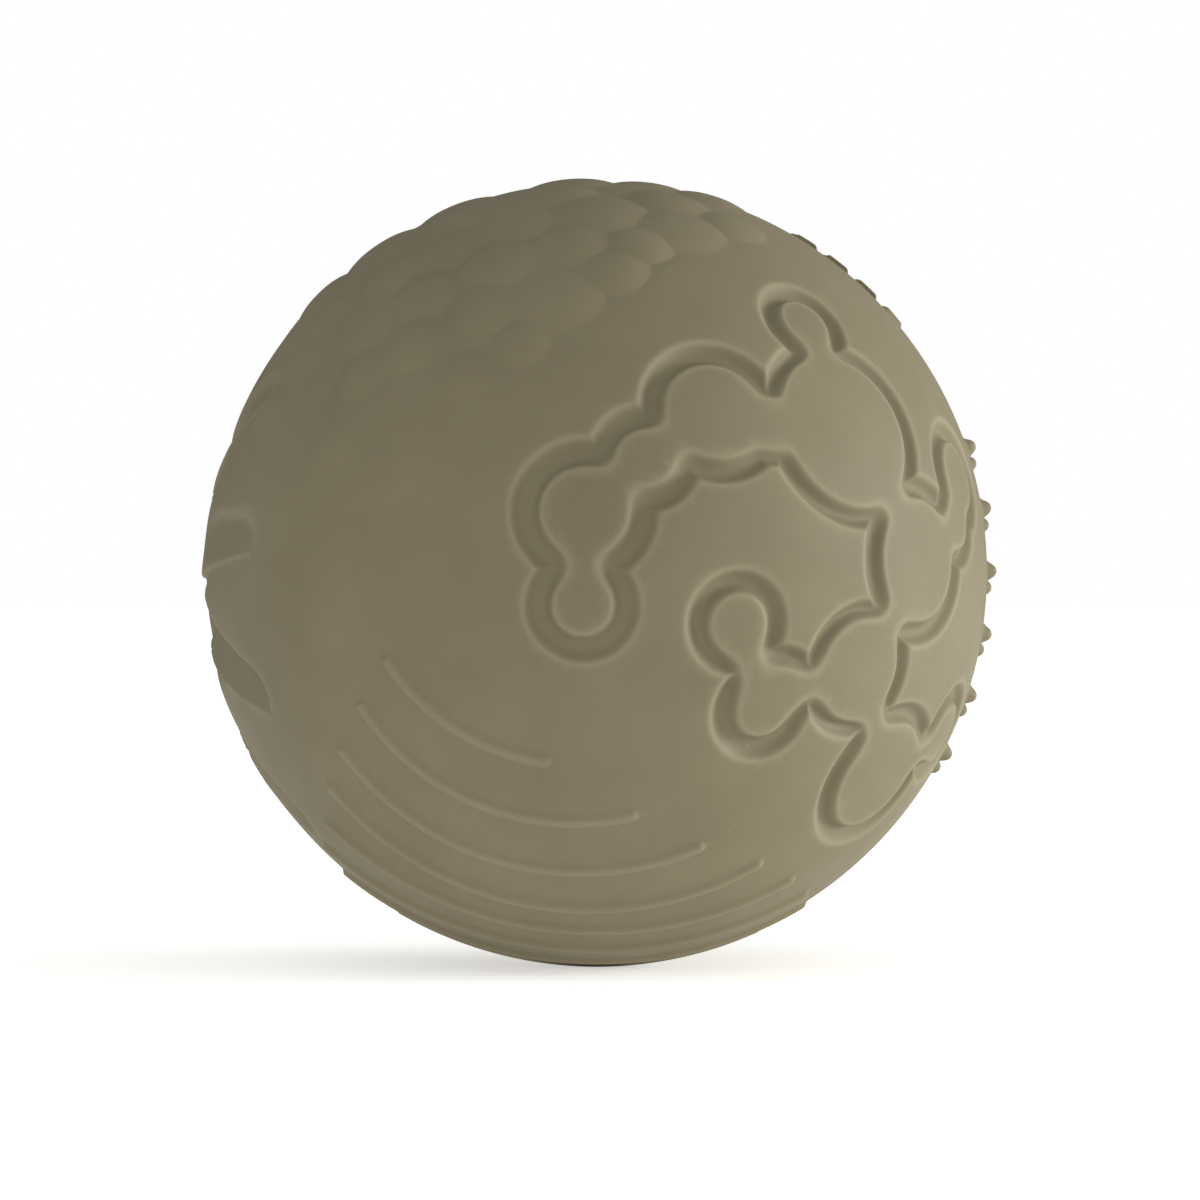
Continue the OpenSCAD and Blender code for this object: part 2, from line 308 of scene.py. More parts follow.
@dataclass
class Scales(Relief):
    """Overlapping low domes with grooves between them.

    Each has its longitude, its latitude and its half width in degrees. They are faint in
    the lowest rows and grow bolder between two latitudes. The ground sinks where they crowd.
    """

    middle = (-30.0, 60.0)
    reach = 75.0
    crown: float = 1.0
    groove: float = 0.8
    faintest: float = 0.62
    bolder_between: tuple[float, float] = (18.0, 44.0)
    dome_power: float = 2.4
    dome_blend: float = 0.12
    crowd_width: float = 1.12
    crowd_start: float = 0.25
    crowd_span: float = 0.9
    ground_blend: float = 0.25
    places: Sequence[tuple[float, float, float]] = (
        (1, 64, 6.4), (23.5, 58, 6.2), (44, 60, 4.8), (-6, 53.5, 5.2), (10.5, 54, 4.4),
        (3.5, 47.5, 4.7), (-7.5, 42, 6.2), (-21.5, 49.5, 5.4), (-21.5, 40, 4.8),
        (-12.5, 33.5, 3.8), (-21, 28.5, 4.1), (-24, 60.5, 5.4), (-35.5, 43, 4.8),
        (-33, 33.5, 4.6), (-47.5, 37, 5.4), (-63, 40, 4), (-51.5, 26.5, 3.8),
        (-41, 29, 4), (-43.5, 18, 4.2), (-32.5, 13.5, 4.8), (-62, 32, 4),
        (-64, 23.5, 3.8), (-39, 53, 5.1), (-50, 47.5, 4.8), (-52, 63, 5.6),
        (-20, 71.5, 5.8), (30, 69, 5.6), (-66, 52.5, 5.4), (-80, 44.5, 5),
        (-86, 56, 5.6), (-88, 69, 5.8), (-30, 82.5, 6), (100, 82, 6),
        (68, 71.5, 5.4), (-150, 77, 5.6),
    )

    def boldness(self, lat: float) -> float:
        """Returns how bold a scale at a latitude is, up to 1."""
        low, high = self.bolder_between
        return self.faintest + (1.0 - self.faintest) * float(ease((lat - low) / (high - low)))

    def height(self, n: np.ndarray) -> np.ndarray:
        """Finds the domes, and the ground that sinks between them.

        Args:
            n: Directions, one a row.

        Returns:
            Heights over the smooth skin in mm.
        """
        domes = np.full(len(n), -FAR)
        crowding = np.zeros(len(n))
        for lon, lat, half in self.places:
            reach = BALL_R * math.radians(half)
            a = surface_distance(n, spot(lon, lat)) / reach
            boldness = self.boldness(lat)
            dome = boldness * self.crown * (1.0 - a**self.dome_power)
            domes = -blend_min(-domes, -dome, self.dome_blend)
            crowding += boldness * bell(a, self.crowd_width)
        ground = -self.groove * ease((crowding - self.crowd_start) / self.crowd_span)
        return -blend_min(-ground, -domes, self.ground_blend)


@dataclass
class Ribs(Relief):
    """Low round ribs along nested curves.

    Each rib is an arc through three places, and is level as far as half_level from its line.
    """

    middle = (-15.0, -55.0)
    reach = 60.0
    crown: float = 0.97
    half_level: float = 0.4
    half_width: float = 2.0
    # How much painted highlight the crowns get at full height
    highlight_paint: float = 0.6
    places: Sequence[tuple[tuple[float, float], ...]] = (
        ((-31, -12.5), (-19, -23.5), (-8, -27)), ((-37, -19), (-17.5, -35), (6, -36)),
        ((-43.5, -26), (-18, -45), (19.5, -42)), ((-50.5, -32), (-19.5, -54), (34.5, -46)),
        ((-59, -39), (-20, -61), (48, -50)), ((-70, -44), (-25, -68.5), (62, -54)),
        ((-80, -50), (-35, -76.5), (78, -58)), ((-84, -60), (-60, -84), (84, -66)),
    )

    def height(self, n: np.ndarray) -> np.ndarray:
        """Finds the ribs' rounded sections.

        Args:
            n: Directions, one a row.

        Returns:
            Heights over the smooth skin in mm.
        """
        total = np.zeros(len(n))
        for places in self.places:
            start, middle, end = (spot(*p) for p in places)
            axis = unit(np.cross(middle - start, end - start))
            spread = math.acos(axis @ start)
            across = unit(start - (start @ axis) * axis)
            along = np.cross(axis, across)
            sweep = math.atan2(end @ along, end @ across) % (2 * math.pi)
            turn = np.arctan2(n @ along, n @ across) % (2 * math.pi)
            line = BALL_R * np.abs(np.arccos(np.clip(n @ axis, -1, 1)) - spread)
            tips = np.minimum(surface_distance(n, start), surface_distance(n, end))
            d = np.where(turn <= sweep, line, tips)
            down = ease((d - self.half_level) / (self.half_width - self.half_level))
            total = np.maximum(total, self.crown * (1.0 - down))
        return total

    def rim(self, n: np.ndarray) -> np.ndarray:
        """Returns the ribs' crowns, which get a little painted highlight."""
        return self.highlight_paint * self.height(n) / self.crown


@dataclass
class Petals(Relief):
    """Blades that lie like petals round a hub, on a broad swelling.

    Each blade sinks under a wall along one side, and rises to a low step on the other side.
    Turns are round the hub, and a blade's step lies along one of them. Near the hub the skin
    dips below each step. The first blade is shallow and fades out there, and the last one is
    the deepest. The lips of the walls and the steps get a painted highlight, each pair of numbers
    being how much and how wide. Fades and blends are in mm, and angles in degrees.
    """

    middle = (-110.0, -3.0)
    reach = 65.0
    depth: float = 1.7
    depth_first: float = 1.1
    depth_last: float = 2.8
    hub: tuple[float, float] = (-110, -3)
    count: int = 12
    first_turn: float = 5.8
    inner: float = 16.0
    outer: float = 52.0
    wall_near: tuple[float, float] = (35.0, 13.7)
    wall_far: tuple[float, float] = (50.0, 7.7)
    first_bend: float = 3.0
    first_fade: tuple[float, float] = (25.0, 39.0)
    corner: float = 7.0
    ramp: float = 9.0
    ramp_power: float = 0.7
    step: float = 0.4
    step_start: float = 0.5
    step_fade: float = 4.5
    wall_fade: float = 3.0
    end_fade: float = 4.0
    undercut: float = 1.1
    undercut_fade: float = 3.0
    swell: float = 1.5
    swell_place: tuple[float, float] = (-112, -8)
    swell_reach: float = 40.0
    swell_power: float = 1.25
    # Painted highlight on the lips and steps: how much, how wide, and how far it fades in, in mm
    highlight_lip: tuple[float, float] = (0.4, 1.1)
    highlight_lip_start: float = 3.0
    highlight_step: tuple[float, float] = (0.5, 0.7)
    highlight_step_ends: float = 2.0
    wall: Wall = field(default_factory=lambda: Wall(lip=1.6, straight=0.4, foot=2.0))

    def mark(self, angle: float, turn: float) -> np.ndarray:
        """Finds a place by the hub.

        Args:
            angle: How far it is from the hub, in degrees.
            turn: Where it is round the hub, in degrees from the east.

        Returns:
            The unit vector of the place.
        """
        east, north, out = compass(*self.hub)
        a, t = math.radians(angle), math.radians(turn)
        return math.cos(a) * out + math.sin(a) * (math.cos(t) * east + math.sin(t) * north)

    def away(self, n: np.ndarray) -> np.ndarray:
        """Returns the angle from the hub, in degrees."""
        return np.degrees(np.arccos(np.clip(n @ self.mark(0.0, 0.0), -1, 1)))

    def near_hub(self, n: np.ndarray) -> np.ndarray:
        """Returns 1 close to the hub and 0 where the first blade is whole."""
        start, end = self.first_fade
        return 1.0 - ease((self.away(n) - start) / (end - start))

    def blade(self, n: np.ndarray, number: int) -> tuple[np.ndarray, np.ndarray, np.ndarray]:
        """Measures to the sides of a blade.

        Args:
            n: Directions, one a row.
            number: The blade's number, counted from 0.

        Returns:
            Three distances in mm, positive inside: from the step, from the wall, from the ends.
        """
        turn = self.first_turn + number * 360.0 / self.count
        outwards = self.mark(90.0, turn)
        near = self.mark(self.wall_near[0], turn + self.wall_near[1])
        far = self.mark(self.wall_far[0], turn + self.wall_far[1])
        behind = -FAR * (n @ outwards < 0)
        above_step = np.cross(self.mark(0.0, 0.0), outwards)
        below_wall = unit(np.cross(far, near))
        step = BALL_R * np.arcsin(np.clip(n @ above_step, -1, 1)) + behind
        wall = BALL_R * np.arcsin(np.clip(n @ below_wall, -1, 1)) + behind
        if number == 0:
            wall = wall - self.first_bend * self.near_hub(n)
        away = self.away(n)
        ends = BALL_R * np.radians(np.minimum(away - self.inner, self.outer - away))
        return step, wall, ends

    def height(self, n: np.ndarray) -> np.ndarray:
        """Finds the swelling, less the blades' hollows, with the steps on it.

        Args:
            n: Directions, one a row.

        Returns:
            Heights over the smooth skin in mm.
        """
        a = surface_distance(n, spot(*self.swell_place)) / (BALL_R * math.radians(self.swell_reach))
        swell = self.swell * np.maximum(1.0 - a**2, 0.0) ** self.swell_power
        near_hub = self.near_hub(n)
        level, cut, raised, dip = np.zeros((4, len(n)))
        for number in range(self.count):
            step, wall, ends = self.blade(n, number)
            hollow = self.wall.share(blend_min(wall, ends, self.corner))
            hollow = hollow * np.clip(step / self.ramp, 0, 1) ** self.ramp_power
            depth = self.depth
            if number == 0:
                hollow = hollow * (1.0 - near_hub)
                depth = self.depth_first
            if number == self.count - 1:
                depth = self.depth_last
            level = np.maximum(level, hollow)
            cut = np.maximum(cut, depth * hollow)
            past_step = ease(step + self.step_start)
            within_ends = ease(ends / self.end_fade)
            fade = bell(np.maximum(step, 0), self.step_fade) * within_ends
            fade = fade * ease(wall / self.wall_fade)
            raised = np.maximum(raised, past_step * fade)
            below = (1.0 - past_step) * bell(np.minimum(step, 0), self.undercut_fade)
            dip = np.maximum(dip, self.undercut * near_hub * below * within_ends)
        return swell * (1.0 - level) - np.maximum(cut, dip) + self.step * raised

    def rim(self, n: np.ndarray) -> np.ndarray:
        """Finds the lips of the walls and steps, which get a painted highlight.

        Args:
            n: Directions, one a row.

        Returns:
            How much painted highlight each place gets, from 0 to 1.
        """
        lips = np.zeros(len(n))
        lip_share, lip_width = self.highlight_lip
        step_share, step_width = self.highlight_step
        for number in range(self.count):
            step, wall, ends = self.blade(n, number)
            from_lip = blend_min(wall, ends, self.corner) + lip_width
            lip = lip_share * bell(from_lip, lip_width) * ease(step / self.highlight_lip_start)
            if number == 0:
                lip = lip * (1.0 - self.near_hub(n))
            whole = ease(ends / self.highlight_step_ends) * ease(wall / self.highlight_step_ends)
            edge = step_share * bell(step, step_width) * whole
            lips = np.maximum(lips, np.maximum(lip, edge))
        return lips


@dataclass
class Nubs(Relief):
    """Short round nubs in a skew grid, part cone and part dome."""

    middle = (107.0, -10.0)
    reach = 50.0
    crown: float = 2.15
    half_width: float = 2.3
    cone_power: float = 1.9
    domed: float = 0.45
    start: tuple[float, float] = (86, 18.6)
    columns: int = 6
    rows: int = 6
    step: tuple[float, float] = (8.6, -9.2)
    skew: float = -2.4

    def height(self, n: np.ndarray) -> np.ndarray:
        """Finds the nubs' posts.

        Args:
            n: Directions, one a row.

        Returns:
            Heights over the smooth skin in mm.
        """
        total = np.zeros(len(n))
        for i in range(self.columns):
            for j in range(self.rows):
                lon = self.start[0] + i * self.step[0]
                lat = self.start[1] + j * self.step[1] + i * self.skew
                d = surface_distance(n, spot(lon, lat)) / self.half_width
                cone = np.clip(1.0 - d**self.cone_power, 0.0, 1.0)
                post = (1.0 - self.domed) * cone + self.domed * ease(cone)
                total = np.maximum(total, self.crown * post)
        return total


@dataclass
class Ripples(Relief):
    """Round ridges in rings about one place."""

    middle = (178.0, 50.0)
    reach = 30.0
    crown: float = 1.15
    half_width: float = 1.9
    roundness: float = 0.8
    hub: tuple[float, float] = (178, 50)
    count: int = 4
    step: float = 6.0

    def height(self, n: np.ndarray) -> np.ndarray:
        """Finds the rings' rounded sections.

        Args:
            n: Directions, one a row.

        Returns:
            Heights over the smooth skin in mm.
        """
        away = surface_distance(n, spot(*self.hub))
        total = np.zeros(len(n))
        for k in range(1, self.count + 1):
            d = np.abs(away - BALL_R * math.radians(k * self.step)) / self.half_width
            total = np.maximum(total, self.crown * (1.0 - ease(d)) ** self.roundness)
        return total


@dataclass
class Dimples(Relief):
    """Round dimples in rings of six, twelve and eighteen about a first one."""

    middle = (172.0, -46.0)
    reach = 32.0
    depth: float = 1.6
    half_width: float = 4.2
    bowl_power: float = 1.15
    hub: tuple[float, float] = (172, -46)
    rings: int = 3
    step: float = 8.0

    def height(self, n: np.ndarray) -> np.ndarray:
        """Finds the dimples, as heights below the skin.

        Args:
            n: Directions, one a row.

        Returns:
            Heights over the smooth skin in mm.
        """
        east, north, out = compass(*self.hub)
        total = np.zeros(len(n))
        for ring in range(self.rings + 1):
            tilt = math.radians(ring * self.step)
            for k in range(max(1, 6 * ring)):
                turn = math.radians(k * 60.0 / max(1, ring))
                aside = math.cos(turn) * east + math.sin(turn) * north
                place = math.cos(tilt) * out + math.sin(tilt) * aside
                d = surface_distance(n, place) / self.half_width
                bowl = np.maximum(1.0 - d**2, 0.0)
                total = np.minimum(total, -self.depth * bowl**self.bowl_power)
        return total


@dataclass
class Blocks(Relief):
    """Square blocks with rounded edges in a square grid."""

    middle = (104.0, 50.0)
    reach = 28.0
    crown: float = 1.2
    half: float = 2.9
    corner: float = 1.1
    hub: tuple[float, float] = (104, 50)
    side: int = 4
    step: float = 5.6
    wall: Wall = field(default_factory=lambda: Wall(lip=1.1, straight=0.2, foot=0.8))

    def height(self, n: np.ndarray) -> np.ndarray:
        """Finds the blocks.

        Args:
            n: Directions, one a row.

        Returns:
            Heights over the smooth skin in mm.
        """
        east, north, out = compass(*self.hub)
        x, y, z = n @ east, n @ north, n @ out
        rise = BALL_R * np.arcsin(np.clip(y, -1, 1))
        swing = BALL_R * np.arctan2(x, z)
        middle = (self.side - 1) / 2
        total = np.zeros(len(n))
        for i in range(self.side):
            for j in range(self.side):
                v = rise + BALL_R * math.radians((i - middle) * self.step)
                u = (swing - BALL_R * math.radians((j - middle) * self.step)) * np.sqrt(1 - y**2)
                dx = np.abs(u) - (self.half - self.corner)
                dy = np.abs(v) - (self.half - self.corner)
                far = np.hypot(np.maximum(dx, 0), np.maximum(dy, 0))
                d = far + np.minimum(np.maximum(dx, dy), 0.0) - self.corner
                total = np.maximum(total, 1.0 - self.wall.share(d))
        return self.crown * np.where(z > 0, total, 0.0)


@dataclass
class PartingLine(Relief):
    """The faint groove that the mould leaves where the halves are joined."""

    depth: float = 0.2
    half_width: float = 0.55

    def height(self, n: np.ndarray) -> np.ndarray:
        """Returns the groove as heights below the skin."""
        return -self.depth * bell(BALL_R * n[:, 1], self.half_width)


@dataclass
class ValveSeat(Relief):
    """The round recess that the valve's face lies in, with the hole for the valve's tube."""

    middle = (180.0, 0.0)
    reach = 10.0
    depth: float = 1.0
    radius: float = 6.5
    hole: float = 5.05
    wall: Wall = field(default_factory=lambda: Wall(lip=0.8, straight=0.15, foot=0.35))

    def height(self, n: np.ndarray) -> np.ndarray:
        """Returns the recess as heights below the skin."""
        away = surface_distance(n, np.array([0.0, 1.0, 0.0]))
        return -self.depth * self.wall.share(self.radius - away)


@dataclass
class Skin:
    """The ball's outer surface: all the patterns together, set a hair lower than the solids."""

    inset: float = 0.01
    beads: BeadNetwork = field(default_factory=BeadNetwork)
    seat: ValveSeat = field(default_factory=ValveSeat)
    front_patterns: Sequence[Relief] = field(
        default_factory=lambda: (Scales(), Ribs(), Petals(), Nubs())
    )
    rear_patterns: Sequence[Relief] = field(
        default_factory=lambda: (Scales(), Petals(), Nubs(), Ripples(), Dimples(), Blocks())
    )

    def patterns(self, side: Side) -> list[Relief]:
        """Lists the patterns that reach onto one half.

        Args:
            side: The half.

        Returns:
            Its patterns.
        """
        if side is Side.FRONT:
            return [self.beads, PartingLine(), *self.front_patterns]
        return [self.seat, PartingLine(), *self.rear_patterns]

    def height(self, n: np.ndarray, side: Side) -> np.ndarray:
        """Returns the skin's height over the smooth ball in mm in each direction."""
        return sum(p.within(n, p.height) for p in self.patterns(side)) - self.inset

    def rim(self, n: np.ndarray, side: Side) -> np.ndarray:
        """Returns how much painted highlight each place gets, from 0 to 1."""
        return np.clip(sum(p.within(n, p.rim) for p in self.patterns(side)), 0.0, 1.0)


class Net:
    """A net of triangles over half of the unit sphere, which can be split where needed."""

    # How far out on Y tells the hole's edge at the pole from the edge at the seam
    halfway: float = 0.5

    def __init__(self, side: Side, levels: int) -> None:
        """Starts from half an octahedron.

        Args:
            side: The half to cover.
            levels: How often each triangle is split in four.
        """
        y = float(side.value)
        self.points = np.array([[1, 0, 0], [0, 0, 1], [-1, 0, 0], [0, 0, -1], [0, y, 0]], float)
        around = [(0, 1), (1, 2), (2, 3), (3, 0)]
        self.tris = np.array([(a, b, 4) for a, b in around])
        for _ in range(levels):
            self.split(lambda a, b: np.ones(len(a), bool))

    def sides(self) -> np.ndarray:
        """Returns the ends of every triangle's three sides, the lesser number first."""
        t = self.tris
        return np.sort(np.concatenate([t[:, [0, 1]], t[:, [1, 2]], t[:, [2, 0]]]), axis=1)

    def split(self, want: Callable[[np.ndarray, np.ndarray], np.ndarray]) -> int:
        """Splits edges, and the triangles beside them, without leaving gaps.

        Args:
            want: Takes the ends of all edges and says which of them to split.

        Returns:
            How many edges were split.
        """
        t = self.tris
        edges, of = np.unique(self.sides(), axis=0, return_inverse=True)
        of = of.reshape(3, -1).T
        mark = want(self.points[edges[:, 0]], self.points[edges[:, 1]])
        while True:
            crowded = mark[of].sum(axis=1) == 2
            if not crowded.any():
                break
            mark[of[crowded]] = True
        number = np.full(len(edges), -1)
        number[mark] = len(self.points) + np.arange(int(mark.sum()))
        middles = unit(self.points[edges[mark, 0]] + self.points[edges[mark, 1]])
        self.points = np.concatenate([self.points, middles])
        mid = number[of]
        count = (mid >= 0).sum(axis=1)
        whole = t[count == 0]
        full, m = t[count == 3], mid[count == 3]
        four = [
            np.column_stack([full[:, 0], m[:, 0], m[:, 2]]),
            np.column_stack([m[:, 0], full[:, 1], m[:, 1]]),
            np.column_stack([m[:, 2], m[:, 1], full[:, 2]]),
            m,
        ]
        two = []
        for k in range(3):
            pick = (count == 1) & (mid[:, k] >= 0)
            a, b, c = t[pick, k], t[pick, (k + 1) % 3], t[pick, (k + 2) % 3]
            two.append(np.column_stack([a, mid[pick, k], c]))
            two.append(np.column_stack([mid[pick, k], b, c]))
        self.tris = np.concatenate([whole, *four, *two])
        return int(mark.sum())

    def cut_hole(self, angle: float) -> None:
        """Opens a round hole about the pole on Y and lays its edge on the circle.

        A triangle with all its corners on that edge would be flat, so it goes too.

        Args:
            angle: The hole's half angle in radians.
        """
        level = math.cos(angle)
        middle = unit(self.points[self.tris].sum(axis=1))
        self.tris = self.tris[np.abs(middle[:, 1]) < level]
        rim = self.border(at_pole=True)
        self.tris = self.tris[~np.isin(self.tris, rim).all(axis=1)]
        flat = unit(self.points[rim][:, [0, 2]]) * math.sin(angle)
        sign = np.sign(self.points[rim, 1])
        self.points[rim] = np.column_stack([flat[:, 0], sign * level, flat[:, 1]])

    def border(self, at_pole: bool) -> np.ndarray:
        """Finds the points on one open edge.

        Args:
            at_pole: Whether it is the hole's edge at the pole, and not the one at the seam.

        Returns:
            The points' numbers.
        """
        edges, uses = np.unique(self.sides(), axis=0, return_counts=True)
        rim = np.unique(edges[uses == 1])
        return rim[(np.abs(self.points[rim, 1]) > self.halfway) == at_pole]

    def loop(self, at_pole: bool) -> np.ndarray:
        """Puts the points on one open edge in order round the Y axis.

        Args:
            at_pole: Whether it is the hole's edge at the pole, and not the one at the seam.

        Returns:
            The points' numbers.
        """
        rim = self.border(at_pole)
        turn = np.arctan2(self.points[rim, 2], self.points[rim, 0])
        return rim[np.argsort(turn)]


def bridge(points: np.ndarray, first: np.ndarray, second: np.ndarray) -> list[tuple[int, int, int]]:
    """Joins two closed loops about the Y axis with triangles.

    Turns that differ only by rounding count as equal, so that each run joins them alike.

    Args:
        points: All places.
        first: The first loop's points in order round the axis.
        second: The second loop's points in the same order.

    Returns:
        The triangles.
    """
    turn_a = np.arctan2(points[first, 2], points[first, 0])
    turn_b = np.arctan2(points[second, 2], points[second, 0])
    a = np.append(turn_a, turn_a[0] + 2 * math.pi)
    b = np.append(turn_b, turn_b[0] + 2 * math.pi)
    i = j = 0
    out = []
    while i < len(first) or j < len(second):
        here, there = int(first[i % len(first)]), int(second[j % len(second)])
        if j == len(second) or (i < len(first) and a[i + 1] <= b[j + 1] + SAME_TURN):
            out.append((here, int(first[(i + 1) % len(first)]), there))
            i += 1
        else:
            out.append((here, int(second[(j + 1) % len(second)]), there))
            j += 1
    return out


def finish_mesh(
    name: str, points: np.ndarray, tris: Sequence, sharp: float = 50.0
) -> bpy.types.Object:
    """Makes a closed smooth object whose faces all look outwards.

    Args:
        name: The object's name.
        points: Its places in mm.
        tris: Its faces.
        sharp: Edges that turn by more than this many degrees stay sharp.

    Returns:
        The object, linked to the scene.
    """
    mesh = bpy.data.meshes.new(name)
    mesh.from_pydata((points * MM).tolist(), [], [list(t) for t in tris])
    bm = bmesh.new()
    bm.from_mesh(mesh)
    bmesh.ops.recalc_face_normals(bm, faces=bm.faces)
    bm.to_mesh(mesh)
    bm.free()
    mesh.shade_smooth()
    mesh.set_sharp_from_angle(angle=math.radians(sharp))
    piece = bpy.data.objects.new(name, mesh)
    bpy.context.scene.collection.objects.link(piece)
    return piece


@dataclass
class HalfShell:
    """One moulded half of the skin: the relief outside, a plain hollow inside.

    An edge is split where the relief strays from it by more than the tolerance, tested at
    shares of its length, but not into edges shorter than the finest. Both are in mm. Round
    the valve's hole the nets are finer, as far as the reaches, which are times its radius.
    """

    side: Side
    skin: Skin
    levels: int = 6
    passes: int = 4
    finest: float = 0.34
    tolerance: float = 0.012
    tested_at: tuple[float, ...] = (0.25, 0.5, 0.75)
    hole_reach: float = 1.3
    inner_levels: int = 5
    inner_reaches: tuple[float, ...] = (3.0, 2.2, 1.6)

    @property
    def name(self) -> str:
        """The piece's name."""
        return "front_skin" if self.side is Side.FRONT else "rear_skin"

    def rough(self, a: np.ndarray, b: np.ndarray) -> np.ndarray:
        """Says which edges stray from the relief or lie at the valve's hole.

        Args:
            a: The edges' first ends.
            b: Their last ends.

        Returns:
            True for each edge that has to be split.
        """
        length = BALL_R * np.linalg.norm(a - b, axis=1)
        test = length > 2 * self.finest
        out = np.zeros(len(a), bool)
        a, b = a[test], b[test]
        ha, hb = self.skin.height(a, self.side), self.skin.height(b, self.side)
        off = np.zeros(len(a))
        for share in self.tested_at:
            between = self.skin.height(unit(a * (1 - share) + b * share), self.side)
            off = np.maximum(off, np.abs(between - ha * (1 - share) - hb * share))
        out[test] = (off > self.tolerance) | self.at_hole(a, b)
        return out

    def at_hole(self, a: np.ndarray, b: np.ndarray) -> np.ndarray:
        """Says which edges lie at the valve's hole.

        Args:
            a: The edges' first ends.
            b: Their last ends.

        Returns:
            True for each edge within the rear half's hole or close round it.
        """
        near = math.cos(self.hole_reach * self.skin.seat.hole / BALL_R)
        return unit(a + b)[:, 1] > near

    def outer_net(self) -> Net:
        """Makes the outer surface's net, fine where the relief bends.

        Returns:
            The net.
        """
        net = Net(self.side, self.levels)
        for _ in range(self.passes):
            if net.split(self.rough) == 0:
                break
        return net

    def inner_net(self) -> Net:
        """Makes the hollow's net, fine only round the valve's hole.

        Returns:
            The net.
        """
        net = Net(self.side, self.inner_levels)
        if self.side is Side.REAR:
            hole = self.skin.seat.hole / BALL_R
            for reach in self.inner_reaches:
                net.split(lambda a, b: np.abs((a + b)[:, 1] / 2) > math.cos(reach * hole))
        return net

    def build(self, rubber: bpy.types.Material) -> bpy.types.Object:
        """Builds the closed half shell.

        Args:
            rubber: The skin's material.

        Returns:
            The object, riding on the ball in place of its solid.
        """
        outer, inner = self.outer_net(), self.inner_net()
        if self.side is Side.REAR:
            outer.cut_hole(self.skin.seat.hole / (BALL_R - self.skin.seat.depth))
            inner.cut_hole(self.skin.seat.hole / INNER_R)
        radius = BALL_R + self.skin.height(outer.points, self.side)
        places = np.concatenate([outer.points * radius[:, None], inner.points * INNER_R])
        shift = len(outer.points)
        tris = [*outer.tris.tolist(), *(inner.tris[:, ::-1] + shift).tolist()]
        for at_pole in (False, True) if self.side is Side.REAR else (False,):
            tris += bridge(places, outer.loop(at_pole), inner.loop(at_pole) + shift)
        used = np.unique(np.array(tris))
        renumber = np.full(len(places), -1)
        renumber[used] = np.arange(len(used))
        piece = finish_mesh(self.name, places[used], renumber[np.array(tris)].tolist())
        # How much painted highlight each point gets; none on the hollow
        rim = np.concatenate([self.skin.rim(outer.points, self.side), np.zeros(len(inner.points))])
        self.dress(piece, rubber, rim[used])
        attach(piece, "ball")
        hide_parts("front_half" if self.side is Side.FRONT else "rear_half")
        return piece

    def dress(self, piece: bpy.types.Object, rubber: bpy.types.Material, rim: np.ndarray) -> None:
        """Gives the half its material, and tells it where the highlight is painted.

        Args:
            piece: The half shell.
            rubber: The skin's material.
            rim: How much painted highlight each of its points gets, from 0 to 1.
        """
        piece.data.materials.append(rubber)
        layer = piece.data.attributes.new("painted_highlight", "FLOAT", "POINT")
        layer.data.foreach_set("value", rim.astype(np.float32))


@dataclass
class Corner:
    """A corner of a turned outline: its radius from the axis, its place along Y, its rounding."""

    radius: float
    along: float
    rounding: float = 0.0


def rounded_outline(corners: Sequence[Corner], closed: bool, steps: int = 6) -> np.ndarray:
    """Rounds the corners of an outline.

    Args:
        corners: The corners in order.
        closed: Whether the last corner joins the first.
        steps: How many pieces each rounding has.

    Returns:
        The outline's points as radius and place along Y.
    """
    flat = [np.array([c.radius, c.along]) for c in corners]
    out = []
    for k, corner in enumerate(corners):
        ends = not closed and k in (0, len(corners) - 1)
        if corner.rounding == 0 or ends:
            out.append(flat[k])
            continue
        before, after = flat[k - 1], flat[(k + 1) % len(flat)]
        a = flat[k] + unit(before - flat[k]) * corner.rounding
        b = flat[k] + unit(after - flat[k]) * corner.rounding
        for step in range(steps + 1):
            t = step / steps
            out.append((1 - t) ** 2 * a + 2 * t * (1 - t) * flat[k] + t**2 * b)
    return np.array(out)


def turned(
    name: str, corners: Sequence[Corner], closed: bool, around: int = 96, sharp: float = 35.0
) -> bpy.types.Object:
    """Turns an outline about the Y axis.

    Args:
        name: The object's name.
        corners: The outline; an open one starts and ends on the axis.
        closed: Whether the outline is a ring that stays off the axis.
        around: How many segments the turn has.
        sharp: Edges that turn by more than this many degrees stay sharp.

    Returns:
        The object, linked to the scene.
    """
    line = rounded_outline(corners, closed)
    turn = np.arange(around) * 2 * math.pi / around
    points, rows = [], []
    for radius, along in line:
        if radius == 0.0:
            rows.append([len(points)])
            points.append((0.0, along, 0.0))
        else:
            rows.append(list(range(len(points), len(points) + around)))
            points += [(radius * math.cos(t), along, radius * math.sin(t)) for t in turn]
    tris = []
    joins = list(zip(rows, rows[1:] + rows[:1])) if closed else list(zip(rows, rows[1:]))
    for low, high in joins:
        for k in range(around):
            a, b = low[k % len(low)], low[(k + 1) % len(low)]
            c, d = high[k % len(high)], high[(k + 1) % len(high)]
            if len(low) == 1:
                tris.append((a, c, d))
            elif len(high) == 1:
                tris.append((a, b, c))
            else:
                tris.append((a, b, d, c))
    return finish_mesh(name, np.array(points), tris, sharp)


